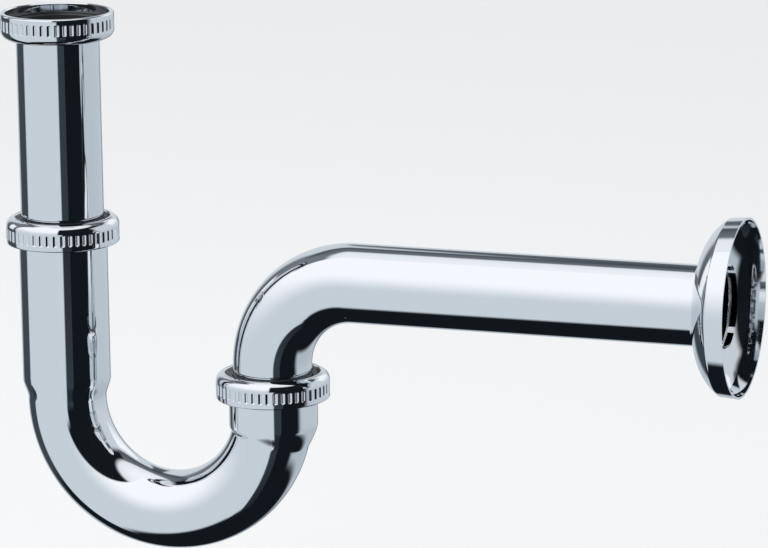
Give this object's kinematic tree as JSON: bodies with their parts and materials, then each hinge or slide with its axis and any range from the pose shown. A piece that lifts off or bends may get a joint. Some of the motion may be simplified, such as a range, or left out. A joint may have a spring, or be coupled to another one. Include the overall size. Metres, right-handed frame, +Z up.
{
  "type": "tubular basin trap",
  "caption": "Chromed tubular basin trap: sliding flanged inlet tube, P-shaped trap bend with slip nuts, bent outlet pipe and a domed wall rosette.",
  "frame": {"origin": "centre of the outlet pipe's open end", "axes": "+X along the outlet pipe, out of its open end and into the wall; +Z up; the inlet tube's axis is parallel to Z"},
  "size_m": [0.3079, 0.0706, 0.2199],
  "materials": {
    "chromed_brass": "polished chrome plate",
    "chromed_nut": "polished chrome plate",
    "clip_steel": "plain spring steel",
    "bare_brass": "turned",
    "black_rubber": "moulded, dull",
    "grey_plastic": "moulded"
  },
  "bodies": {
    "outlet": {"outlet_pipe": "chromed_brass"},
    "clip": {"rosette_clip": "clip_steel"},
    "rosette": {"rosette": "chromed_brass"},
    "outlet_seal": {"outlet_seal": "black_rubber"},
    "trap": {"trap_bend": "chromed_brass", "inlet_collar": "bare_brass", "outlet_collar": "bare_brass"},
    "outlet_press_ring": {"outlet_press_ring": "grey_plastic"},
    "outlet_slip_nut": {"outlet_slip_nut": "chromed_nut"},
    "inlet_press_ring": {"inlet_press_ring": "grey_plastic"},
    "inlet_slip_nut": {"inlet_slip_nut": "chromed_nut"},
    "inlet_seal": {"inlet_seal": "black_rubber"},
    "inlet_tube": {"inlet_tube": "chromed_brass", "inlet_gasket": "black_rubber"},
    "inlet_slip_ring": {"inlet_slip_ring": "grey_plastic"},
    "inlet_nut": {"inlet_nut": "chromed_nut"}
  },
  "joints": [
    {"name": "rosette_slide", "type": "slide", "parent": "outlet", "child": "clip", "axis": [1, 0, 0], "range_m": [-0.12, 0]},
    {"name": "rosette_turn", "type": "hinge", "parent": "clip", "child": "rosette", "pos_m": [-0.0068, 0, 0], "axis": [1, 0, 0], "continuous": true},
    {"name": "trap_height", "type": "slide", "parent": "outlet", "child": "outlet_seal", "axis": [0, 0, 1], "range_m": [-0.009, 0.002]},
    {"name": "trap_swivel", "type": "hinge", "parent": "outlet_seal", "child": "trap", "pos_m": [-0.1855, 0, -0.0433], "axis": [0, 0, 1], "range_deg": [-120, 120]},
    {"name": "outlet_nut_lift", "type": "slide", "parent": "trap", "child": "outlet_press_ring", "axis": [0, 0, 1], "range_m": [0, 0.0058]},
    {"name": "outlet_nut_turn", "type": "hinge", "parent": "outlet_press_ring", "child": "outlet_slip_nut", "pos_m": [-0.1855, 0, -0.0433], "axis": [0, 0, 1], "range_deg": [0, 900]},
    {"name": "inlet_nut_lift", "type": "slide", "parent": "trap", "child": "inlet_press_ring", "axis": [0, 0, 1], "range_m": [0, 0.0058]},
    {"name": "inlet_slip_nut_turn", "type": "hinge", "parent": "inlet_press_ring", "child": "inlet_slip_nut", "pos_m": [-0.2755, 0, 0.0155], "axis": [0, 0, 1], "range_deg": [0, 900]},
    {"name": "inlet_turn", "type": "hinge", "parent": "trap", "child": "inlet_seal", "pos_m": [-0.2755, 0, 0.0155], "axis": [0, 0, 1], "continuous": true},
    {"name": "inlet_height", "type": "slide", "parent": "inlet_seal", "child": "inlet_tube", "axis": [0, 0, 1], "range_m": [-0.022, 0.028]},
    {"name": "inlet_nut_slide", "type": "slide", "parent": "inlet_tube", "child": "inlet_slip_ring", "axis": [0, 0, 1], "range_m": [-0.04, 0]},
    {"name": "inlet_nut_turn", "type": "hinge", "parent": "inlet_slip_ring", "child": "inlet_nut", "pos_m": [-0.2755, 0, 0.098], "axis": [0, 0, 1], "continuous": true}
  ],
  "couplings": [
    {"joint": "outlet_nut_lift", "follows": "outlet_nut_turn", "m_per_rad": 0.00036749},
    {"joint": "inlet_nut_lift", "follows": "inlet_slip_nut_turn", "m_per_rad": 0.00036749}
  ]
}
